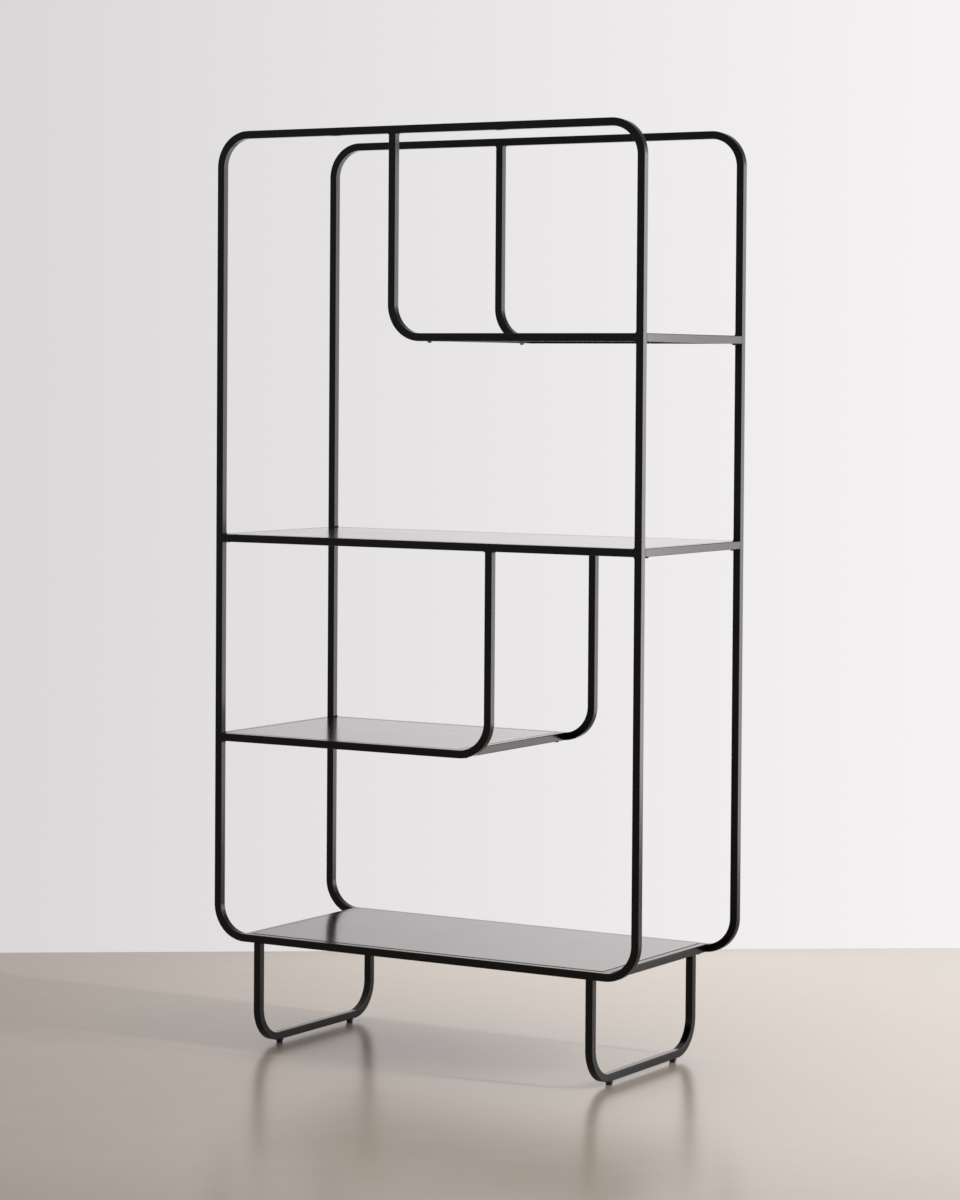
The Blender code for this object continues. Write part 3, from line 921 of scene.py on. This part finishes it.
@dataclass
class EndFrame(Assembly):
    """One frame: the closed loop, the middle rail and the two bent tubes inside it, welded."""

    end: End
    stub_length: float = 0.028
    stub_clearance: float = 0.0004
    stub_bevel: float = 0.001
    stub_overlap: float = 0.0006
    screw_from_frame: float = 0.019
    hole_radius: float = 0.0028
    drain_radius: float = 0.0025

    def build(self) -> None:
        """Builds the frame's tubes and their welds."""
        plan, tube = self.plan, self.plan.tube
        x = plan.right - tube.half
        edge = x - tube.half
        into = edge + tube.corner
        low, high = plan.base + tube.half, plan.top - tube.half
        rail, upright, post = plan.middle_rail_z, plan.top_upright_x, plan.lower_upright_x
        shelf, lower = plan.top_shelf_z, plan.lower_shelf_z
        loop = [(x, low), (x, high), (-x, high), (-x, low)]
        self.tube_piece("outer_loop", loop, closed=True)
        self.tube_piece("middle_rail", [(-into, rail), (into, rail)])
        hung = high - tube.half + tube.corner
        self.tube_piece("top_shelf_tube", [(upright, hung), (upright, shelf), (into, shelf)])
        risen = rail - tube.half + tube.corner
        self.tube_piece("lower_shelf_tube", [(-into, lower), (post, lower), (post, risen)])
        self.weld_piece("middle_left", -edge, rail, Axis.X)
        self.weld_piece("middle_right", edge, rail, -Axis.X)
        self.weld_piece("top_shelf_upper", upright, high - tube.half, -Axis.Z)
        self.weld_piece("top_shelf_right", edge, shelf, -Axis.X)
        self.weld_piece("lower_shelf_left", -edge, lower, Axis.X)
        self.weld_piece("lower_shelf_upper", post, rail - tube.half, -Axis.Z)

    @property
    def y(self) -> float:
        """Where the frame's middle plane stands."""
        return self.end.side * self.plan.middle_y

    def tube_piece(self, name: str, line: Sequence[Pair], closed: bool = False) -> None:
        """One tube of the frame with the stubs that are welded to it.

        Args:
            name: The tube's name within its frame.
            line: The ends and corners of its middle line, each as X and Z.
            closed: True for the outer loop.
        """
        bench = self.bench
        tube = self.plan.tube.run(bench, [Vector((x, self.y, z)) for x, z in line], closed)
        if closed:
            drain = Vector((0.0, self.y, self.plan.base))
            bench.cut(tube, [bench.bar(drain, Axis.Z, self.drain_radius, self.plan.tube.width / 2)])
        stubs = [self.rail_stub(*place.split("_")) for place in STUBS_ON[name]]
        if closed:
            stubs += [self.leg_stub(hand) for hand in Hand]
        piece = bench.joined([tube, *stubs])
        bench.soften(piece)
        node = f"{self.end.value}_{name}"
        self.dress(piece, f"{node}_dressed", Slot.TUBE, [node])

    def stub(self, foot: Vector, along: Vector, hole_along: Vector) -> Thing:
        """A block welded at its foot, with a tapped hole across it.

        Args:
            foot: The middle of its foot, on the tube's face.
            along: The way it stands out.
            hole_along: The way its hole runs.

        Returns:
            The drilled stub.
        """
        tube = self.plan.tube
        half = tube.half - tube.wall - self.stub_clearance
        reach = Vector((half, half, half)) - Vector(map(abs, along)) * half
        start = foot - along * self.stub_overlap
        finish = foot + along * self.stub_length
        low = Vector(map(min, start, finish)) - reach
        high = Vector(map(max, start, finish)) + reach
        stub = self.bench.block(low, high)
        with self.bench.editing(stub):
            bpy.ops.mesh.bevel(offset=self.stub_bevel, offset_type="OFFSET", segments=2, affect="EDGES")
        hole = foot + along * self.screw_from_frame
        self.bench.cut(stub, [self.bench.bar(hole, hole_along, self.hole_radius, tube.width)])
        return stub

    def rail_stub(self, shelf: str, hand: str) -> Thing:
        """The stub that a shelf's cross rail slides over.

        Args:
            shelf: Which shelf.
            hand: Its left or right rail.

        Returns:
            The drilled stub.
        """
        x, _, z = middle(f"{shelf}_shelf_cross_rail_{hand}")
        foot = Vector((x, self.end.side * self.plan.inner_y, z))
        return self.stub(foot, -Axis.Y * self.end.side, Axis.Z)

    def leg_stub(self, hand: Hand) -> Thing:
        """The stub that a leg slides over."""
        x = middle(f"leg_{hand.value}")[0]
        return self.stub(Vector((x, self.y, self.plan.base)), -Axis.Z, Axis.Y)

    def weld_piece(self, name: str, x: float, z: float, along: Vector) -> None:
        """One weld of the frame, at a tube's end.

        Args:
            name: The weld's name within its frame.
            x: Where the tube's middle line ends, across.
            z: Where it ends, in height.
            along: The way the tube runs from there.
        """
        weld = self.plan.tube.weld(self.bench, Vector((x, self.y, z)), along)
        self.bench.soften(weld)
        self.dress(weld, f"{self.end.value}_weld_{name}", Slot.TUBE, material=self.finishes.weld)


@dataclass
class ShelfTray(Assembly):
    """One shelf: two cross rails, a sheet-steel pan between them and, on a wide one, a stiffener."""

    name: str
    stiffened: bool
    sheet: float = 0.0012
    fold: float = 0.0015
    fold_steps: int = 6
    screw_from_frame: float = 0.019
    hole_radius: float = 0.0028

    def build(self) -> None:
        """Builds the rails and the pan, and gives the stiffener its coat."""
        for hand in Hand:
            self.cross_rail(f"{self.name}_cross_rail_{hand.value}")
        self.pan(f"{self.name}_panel")
        if self.stiffened:
            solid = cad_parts[f"{self.name}_stiffener"]
            solid.material_slots[0].material = self.finishes.by_slot[Slot.PANEL]
            log.info("%s_stiffener: coated", self.name)

    def cross_rail(self, node: str) -> None:
        """A straight tube with a screw hole below each end.

        Args:
            node: The solid that it stands for.
        """
        bench, tube = self.bench, self.plan.tube
        low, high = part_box(node)
        x, _, z = middle(node)
        rail = tube.run(bench, [Vector((x, low.y, z)), Vector((x, high.y, z))])
        holes = []
        for end in End:
            hole = Vector((x, end.side * (self.plan.inner_y - self.screw_from_frame), low.z))
            holes.append(bench.bar(hole, Axis.Z, self.hole_radius, tube.half))
        bench.cut(rail, holes)
        bench.soften(rail)
        self.dress(rail, f"{node}_dressed", Slot.TUBE, [node])

    def pan(self, node: str) -> None:
        """Sheet steel with its four edges folded down.

        Args:
            node: The solid that it stands for.
        """
        bench = self.bench
        low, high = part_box(node)
        pan = bench.block(low, high)
        with bench.editing(pan):
            bench.only(pan, lambda point: point.z < (low.z + high.z) / 2)
            bpy.ops.mesh.delete(type="ONLY_FACE")
            bpy.ops.mesh.select_mode(type="EDGE")
            bpy.ops.mesh.select_all(action="DESELECT")
            bpy.ops.mesh.select_non_manifold()
            bpy.ops.mesh.select_all(action="INVERT")
            bpy.ops.mesh.bevel(
                offset=self.fold, offset_type="OFFSET", segments=self.fold_steps, affect="EDGES"
            )
            bench.tidy()
        bench.change(pan, "SOLIDIFY", thickness=self.sheet, offset=-1.0, use_even_offset=True)
        bench.soften(pan)
        self.dress(pan, f"{node}_dressed", Slot.PANEL, [node])


@dataclass
class ScrewSet(Assembly):
    """The button-head screws: four on each shelf and two on each leg."""

    shelves: Sequence[str]
    radius: float = 0.0025
    length: float = 0.010
    tip_bevel: float = 0.0006
    head_radius: float = 0.00475
    head_height: float = 0.00275
    head_rim: float = 0.0006
    head_arc: float = radians(78)
    head_steps: int = 9
    head_edge: float = 0.00015
    socket_flats: float = 0.003
    socket_depth: float = 0.0017
    socket_cone: float = 0.0005
    overrun: float = 0.0001

    def model(self) -> Thing:
        """Models one screw.

        Returns:
            The screw, its shank up along Z from the head's bearing face at the origin.
        """
        crown = self.head_height - self.head_rim
        rings = [(self.radius - self.tip_bevel, self.length), (self.radius, self.length - self.tip_bevel)]
        rings += [(self.radius, 0.0), (self.head_radius - self.head_edge, 0.0)]
        rings += [(self.head_radius, -self.head_edge)]
        for step in range(self.head_steps + 1):
            turn = self.head_arc * step / self.head_steps
            drop = crown * sin(turn) / sin(self.head_arc)
            rings.append((self.head_radius * cos(turn), -self.head_rim - drop))
        screw = self.bench.turned(rings)
        corner, cone = hexagon_radius(self.socket_flats), self.socket_cone
        bottom = self.socket_depth - self.head_height
        rings = [(corner + cone, -self.head_height - cone), (corner, -self.head_height + self.overrun)]
        rings += [(corner, bottom), (corner / 3, bottom + cone)]
        self.bench.cut(screw, [self.bench.turned(rings, sides=HEXAGON)])
        self.bench.soften(screw)
        return screw

    def build(self) -> None:
        """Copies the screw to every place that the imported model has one."""
        screw = self.model()
        for shelf in self.shelves:
            for end in End:
                for hand in Hand:
                    node = f"{shelf}_screw_{end.value}_{hand.value}"
                    x, y, _ = middle(node)
                    place = Vector((x, y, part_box(node)[1].z - self.length))
                    self.fit(screw, node, Matrix.Translation(place))
        for end in End:
            turn = Matrix.Rotation(-end.side * pi / 2, 4, "X")
            for hand in Hand:
                node = f"leg_screw_{end.value}_{hand.value}"
                low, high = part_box(node)
                bearing = high.y - self.length if end is End.REAR else low.y + self.length
                x, _, z = middle(node)
                self.fit(screw, node, Matrix.Translation(Vector((x, bearing, z))) @ turn)
        self.bench.discard(screw)

    def fit(self, screw: Thing, node: str, place: Matrix) -> None:
        """One screw in place of its solid."""
        self.dress(self.bench.copied(screw, place), f"{node}_dressed", Slot.SCREW, [node])


@dataclass
class SledLeg(Assembly):
    """A U of bent tube under both frames, drilled for its screws and its feet."""

    hand: Hand
    screw_below: float = 0.019
    screw_hole_radius: float = 0.0028
    foot_hole_radius: float = 0.0048

    def build(self) -> None:
        """Bends and drills the leg."""
        bench, tube = self.bench, self.plan.tube
        node = f"leg_{self.hand.value}"
        low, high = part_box(node)
        x, y, z = middle(node)[0], high.y - tube.half, low.z + tube.half
        line = [Vector((x, -y, high.z)), Vector((x, -y, z)), Vector((x, y, z)), Vector((x, y, high.z))]
        leg = tube.run(bench, line)
        cutters = []
        for end in End:
            inner = Vector((x, end.side * self.plan.inner_y, self.plan.base - self.screw_below))
            cutters.append(bench.bar(inner, Axis.Y, self.screw_hole_radius, tube.half))
            foot = Vector((x, middle(f"foot_insert_{end.value}_{self.hand.value}")[1], low.z))
            cutters.append(bench.bar(foot, Axis.Z, self.foot_hole_radius, tube.half))
        bench.cut(leg, cutters)
        bench.soften(leg)
        self.dress(leg, f"{node}_dressed", Slot.TUBE, [node])


@dataclass
class LevellingFeet(Assembly):
    """Four feet: a threaded insert in the leg, a stud with a hexagon collar, and a pad that it turns in."""

    pad_radius: float = 0.0066
    pad_height: float = 0.0042
    pad_edge: float = 0.0005
    pad_foot: Sequence[Pair] = ((0.0011, 0.0), (0.0006, 0.0001), (0.0001, 0.0008), (0.0, 0.0014))
    neck: float = 0.0027
    cavity: float = 0.0045
    cavity_low: float = 0.0016
    cavity_high: float = 0.0031
    disc_radius: float = 0.0042
    disc_low: float = 0.0019
    disc_high: float = 0.0028
    pin_radius: float = 0.0024
    collar_flats: float = 0.014
    collar_low: float = 0.0045
    collar_high: float = 0.0070
    collar_bevel: float = 0.0003
    crest: float = 0.0030
    root: float = 0.0025
    pitch: float = 0.001
    form: Sequence[float] = (0.2, 0.5, 0.65, 0.95)
    thread_steps: int = 24
    insert_flange: float = 0.0065
    insert_radius: float = 0.0045
    insert_bore: float = 0.0033
    insert_depth: float = 0.011
    insert_lip: float = 0.0007
    insert_gap: float = 0.0003
    insert_edge: float = 0.0001
    insert_lead: float = 0.0003

    def pad(self) -> Thing:
        """Models the pad, with the cavity that holds the stud's disc.

        Returns:
            The pad about Z, standing on the floor.
        """
        radius, height, edge = self.pad_radius, self.pad_height, self.pad_edge
        rings = [(radius - inset, rise) for inset, rise in self.pad_foot]
        rings += [(radius, height - edge), (radius - edge / 3, height - edge / 3)]
        rings += [(radius - edge, height), (self.neck + edge / 2, height), (self.neck, height - edge / 2)]
        rings += [(self.neck, self.cavity_high), (self.cavity, self.cavity_high)]
        rings += [(self.cavity, self.cavity_low)]
        pad = self.bench.turned(rings)
        self.bench.soften(pad)
        return pad

    def thread(self, low: float, high: float) -> Thing:
        """A length of screw thread about Z, closed at both ends.

        Args:
            low: The height of its lower end.
            high: The height of its upper end.

        Returns:
            The thread.
        """
        bench, pitch = self.bench, self.pitch
        root_low, crest_low, crest_high, root_high = self.form
        outline = [(self.root, root_low), (self.crest, crest_low), (self.crest, crest_high)]
        outline += [(self.root, root_high), (self.root, root_low + 1.0)]
        thread = bench.plate(pitch, Vector((0.0, 0.0, low)), Axis.Z)
        with bench.editing(thread):
            bpy.ops.mesh.merge(type="CENTER")
            radius, turn = 0.0, 0.0
            for place, (radius_next, turn_next) in enumerate(outline):
                way = Vector((radius_next - radius, 0.0, (turn_next - turn) * pitch))
                if place:
                    bpy.ops.mesh.extrude_vertices_move(TRANSFORM_OT_translate={"value": way})
                else:
                    way.z -= 2 * pitch
                    bpy.ops.transform.translate(value=way)
                radius, turn = radius_next, turn_next
        turns = int((high - low) / pitch) + 4
        bench.change(
            thread,
            "SCREW",
            screw_offset=pitch,
            iterations=turns,
            steps=self.thread_steps,
            render_steps=self.thread_steps,
            use_merge_vertices=True,
            merge_threshold=bench.merge,
        )
        with bench.editing(thread):
            for height, outward in ((low, -1), (high, 1)):
                bpy.ops.mesh.select_all(action="SELECT")
                bpy.ops.mesh.bisect(
                    plane_co=(0.0, 0.0, height),
                    plane_no=(0.0, 0.0, outward),
                    use_fill=True,
                    clear_outer=True,
                )
            bench.tidy()
        return thread

    def stud(self, top: float) -> Thing:
        """The stud about Z: thread, hexagon collar, pin and disc.

        Args:
            top: The height of its upper end.

        Returns:
            The stud, at rest above the floor.
        """
        bench = self.bench
        thread = self.thread(self.collar_high - self.pitch / 2, top)
        corner = hexagon_radius(self.collar_flats)
        bevel = self.collar_bevel
        low, high = self.collar_low, self.collar_high
        rings = [(corner - 3 * bevel, low), (corner, low + bevel), (corner, high - bevel)]
        rings += [(corner - 3 * bevel, high)]
        collar = bench.turned(rings, sides=HEXAGON)
        with bench.editing(collar):
            bpy.ops.mesh.bevel(offset=bevel / 2, offset_type="OFFSET", segments=2, affect="EDGES")
        disc = self.disc_radius
        rings = [(disc - bevel / 2, self.disc_low), (disc, self.disc_low + bevel / 2)]
        rings += [(disc, self.disc_high), (self.pin_radius, self.disc_high)]
        rings += [(self.pin_radius, (low + high) / 2)]
        stud = bench.joined([thread, collar, bench.turned(rings)])
        bench.soften(stud)
        return stud

    def insert(self) -> Thing:
        """Models the insert.

        Returns:
            The insert about Z, from the underside of the leg's tube at the origin.
        """
        gap, lip, flange = self.insert_gap, self.insert_lip, self.insert_flange
        edge, lead, bore = self.insert_edge, self.insert_lead, self.insert_bore
        rings = [(self.insert_radius, self.insert_depth), (self.insert_radius, -gap), (flange - edge, -gap)]
        rings += [(flange, -gap - edge), (flange, edge - lip), (flange - edge, -lip)]
        rings += [(bore + lead, -lip), (bore, lead - lip), (bore, self.insert_depth)]
        insert = self.bench.turned(rings, ring=True)
        self.bench.soften(insert)
        return insert

    def build(self) -> None:
        """Copies insert, stud and pad to the four corners."""
        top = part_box("foot_stud_front_left")[1].z
        under_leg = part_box("leg_left")[0].z
        insert, stud, pad = self.insert(), self.stud(top), self.pad()
        for end in End:
            for hand in Hand:
                corner = f"{end.value}_{hand.value}"
                x, y, _ = middle(f"foot_pad_{corner}")
                place = Vector((x, y, 0.0))
                below = place + Axis.Z * under_leg
                self.fit(insert, f"foot_insert_{corner}", below, Slot.FOOT_STEEL, "shelf")
                self.fit(stud, f"foot_stud_{corner}", place, Slot.FOOT_STEEL, f"stud_{corner}")
                self.fit(pad, f"foot_pad_{corner}", place, Slot.PAD, f"pad_{corner}")
        for shape in (insert, stud, pad):
            self.bench.discard(shape)

    def fit(self, shape: Thing, node: str, place: Vector, slot: Slot, body: str) -> None:
        """One piece of a foot in place of its solid."""
        piece = self.bench.copied(shape, Matrix.Translation(place))
        self.dress(piece, f"{node}_dressed", slot, [node], body)


# Room


@dataclass(frozen=True)
class PhotoCamera:
    """The camera where the photograph was taken from."""

    place: Sequence[float] = (3.655, -6.0105, 1.390)
    yaw: float = radians(31.262)
    pitch: float = radians(1.712)
    roll: float = radians(0.393)
    lens: float = 103.33
    sensor: float = 36.0
    shift_down: float = 0.1019

    @property
    def level_right(self) -> Vector:
        """The way to the picture's right, along the floor."""
        return Vector((cos(self.yaw), sin(self.yaw), 0.0))

    @property
    def level_ahead(self) -> Vector:
        """The way the camera looks, along the floor."""
        return Vector((-sin(self.yaw), cos(self.yaw), 0.0))

    def stand(self) -> None:
        """Puts the camera in the scene."""
        ahead = cos(self.pitch) * self.level_ahead - sin(self.pitch) * Axis.Z
        up = sin(self.pitch) * self.level_ahead + cos(self.pitch) * Axis.Z
        right = cos(self.roll) * self.level_right + sin(self.roll) * up
        over = -sin(self.roll) * self.level_right + cos(self.roll) * up
        turn = Matrix((right, over, -ahead)).transposed().to_4x4()
        data = bpy.data.cameras.new("photo_camera")
        data.lens = self.lens
        data.sensor_width = self.sensor
        data.shift_y = -self.shift_down
        camera = bpy.data.objects.new("photo_camera", data)
        camera.matrix_world = Matrix.Translation(self.place) @ turn
        bpy.context.scene.collection.objects.link(camera)
        bpy.context.scene.camera = camera


@dataclass(frozen=True)
class Room:
    """A plain pale room: a wall seen behind, a polished floor and a wide window to the right."""

    camera: PhotoCamera
    wall_tint: Colour = (1.0, 0.975, 0.980)
    mirrored_tint: Colour = (1.0, 0.955, 0.975)
    warm_tint: Colour = (1.0, 0.955, 0.910)
    # Painted window light: the wall that the camera sees is painted brighter from its left to its right.
    wall_left: float = 0.70
    wall_right: float = 0.92
    wall_turn: float = radians(35.26)
    wall_distance: float = 1.247
    seen_floor: float = 0.45
    mirrored_left: float = 1.14
    mirrored_right: float = 1.34
    upper_left: float = 0.58
    upper_right: float = 2.00
    side_wall: float = 3.2
    side_wall_upper: float = 0.9
    dim_wall: float = 0.30
    behind: float = 0.42
    ceiling: float = 0.62
    high_share: float = 0.30
    view_reach: float = 0.14
    horizon: float = 0.165
    horizon_blur: float = 0.01
    wall_rise: Pair = (0.02, 0.22)
    side_wall_rise: Pair = (0.06, 0.20)
    tint_rise: Pair = (0.17, 0.24)
    high_rise: Pair = (0.22, 0.40)
    ceiling_rise: Pair = (0.45, 0.80)
    to_side_wall: Pair = (0.30, 0.70)
    to_dim_wall: Pair = (-0.15, -0.45)
    from_behind: Pair = (-0.35, 0.35)

    def light_world(self) -> None:
        """The wall that the camera sees, painted brighter towards the right as painted window light, and
        what surfaces mirror of the room.
        """
        world = bpy.data.worlds.new("pale_room")
        world.use_nodes = True
        bpy.context.scene.world = world
        sky = Graph(world.node_tree)
        way = sky.add("ShaderNodeTexCoord", {}, {}, output=0)
        across = sky.dot(way, self.camera.level_right)
        ahead = sky.dot(way, self.camera.level_ahead)
        up = sky.dot(way, Axis.Z)
        share = sky.clamp(across * (0.5 / self.view_reach) + 0.5)
        on_floor = sky.between(up, -self.horizon, -self.horizon - self.horizon_blur)
        # Painted window light on the seen wall: brighter towards the right.
        seen = sky.fade(sky.fade(self.wall_left, self.wall_right, share), self.seen_floor, on_floor)
        rise = sky.between(up, *self.wall_rise)
        left = sky.fade(self.mirrored_left, self.upper_left, rise)
        right = sky.fade(self.mirrored_right, self.upper_right, rise)
        side = sky.fade(self.side_wall, self.side_wall_upper, sky.between(up, *self.side_wall_rise))
        mirrored = sky.fade(sky.fade(left, right, share), side, sky.between(across, *self.to_side_wall))
        mirrored = mirrored * sky.fade(1.0, self.high_share, sky.between(up, *self.high_rise))
        mirrored = sky.fade(mirrored, self.dim_wall, sky.between(across, *self.to_dim_wall))
        mirrored = sky.fade(self.behind, mirrored, sky.between(ahead, *self.from_behind))
        mirrored = sky.fade(mirrored, self.ceiling, sky.between(up, *self.ceiling_rise))
        by_camera = sky.add("ShaderNodeLightPath", {}, {})
        tint = sky.mix(sky.between(up, *self.tint_rise), rgba(self.mirrored_tint), rgba(self.warm_tint))
        seen_tint = sky.mix(on_floor, rgba(self.wall_tint), rgba(self.warm_tint))
        colour = sky.mix(by_camera, tint, seen_tint)
        strength = sky.fade(mirrored, seen, by_camera)
        background = sky.add("ShaderNodeBackground", {}, {"Color": colour, "Strength": strength})
        sky.add("ShaderNodeOutputWorld", {}, {"Surface": background})

    def hang_light(
        self, name: str, place: Vector, aim: Vector, size: Sequence[float], power: float, mirrored: bool
    ) -> None:
        """An area light that the camera doesn't see.

        Args:
            name: Its name.
            place: Its middle.
            aim: What it faces.
            size: Its width and height.
            power: Its power in watts.
            mirrored: True if it only shows in glossy surfaces, False if it only lights matt ones.
        """
        data = bpy.data.lights.new(name, "AREA")
        data.shape = "RECTANGLE"
        data.size, data.size_y = size
        data.energy = power
        light = bpy.data.objects.new(name, data)
        turn = (aim - place).to_track_quat("-Z", "Y").to_matrix().to_4x4()
        light.matrix_world = Matrix.Translation(place) @ turn
        light.visible_camera = False
        light.visible_glossy = mirrored
        light.visible_diffuse = not mirrored
        bpy.context.scene.collection.objects.link(light)

    def lay_floor(self, bench: Bench) -> None:
        """The floor, as far behind the shelf as the photograph's wall stands.

        Args:
            bench: The modelling tools.
        """
        reach, thick = 9.0, 0.006
        floor = bench.block(Vector((-reach, -reach, -thick)), Vector((reach, self.wall_distance, 0.0)))
        with bench.editing(floor):
            bpy.ops.mesh.bevel(offset=0.002, segments=2, affect="EDGES")
        bench.settle(floor, Matrix.Rotation(self.wall_turn, 4, "Z"))
        floor.name = "floor"
        floor.data.materials.clear()
        floor.data.materials.append(PolishedFloor(across=self.camera.level_right).make())

    def build(self, bench: Bench) -> None:
        """Lights the room and lays its floor.

        Args:
            bench: The modelling tools.
        """
        right, ahead = self.camera.level_right, self.camera.level_ahead
        self.light_world()
        bpy.context.scene.view_settings.view_transform = "Standard"
        window, shelf_foot = Vector((7.0, 0.49, 4.4)), Vector((0.0, 0.0, 0.2))
        self.hang_light("tall_window", window, shelf_foot, size=(0.45, 4.9), power=320.0, mirrored=False)
        to_wall = Vector((-sin(self.wall_turn), cos(self.wall_turn), 0.0))
        glow = to_wall * self.wall_distance + to_wall.cross(Axis.Z) * 0.25 + Axis.Z * 0.9
        self.hang_light("wall_glow", glow, glow - to_wall, size=(1.3, 1.6), power=5.5, mirrored=False)
        card, shelf_side = right * 3.25 + ahead * 0.25 + Axis.Z * 1.5, Vector((0.5, 0.0, 1.5))
        self.hang_light("lit_side_wall", card, shelf_side, size=(1.8, 2.6), power=75.0, mirrored=True)
        self.lay_floor(bench)


def main() -> None:
    """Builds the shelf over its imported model, in the room of the photograph."""
    logging.basicConfig(level=logging.INFO, format="%(message)s")
    camera = PhotoCamera()
    camera.stand()
    kit = (Bench(), ShelfPlan.measured(), Finishes())
    shelves = {"bottom_shelf": True, "lower_shelf": False, "middle_shelf": True, "top_shelf": False}
    assemblies: list[Assembly] = [EndFrame(*kit, end=end) for end in End]
    assemblies += [ShelfTray(*kit, name=name, stiffened=wide) for name, wide in shelves.items()]
    assemblies.append(ScrewSet(*kit, shelves=list(shelves)))
    assemblies += [SledLeg(*kit, hand=hand) for hand in Hand]
    assemblies.append(LevellingFeet(*kit))
    for assembly in assemblies:
        assembly.build()
    Room(camera).build(kit[0])


if __name__ == "__main__":
    main()
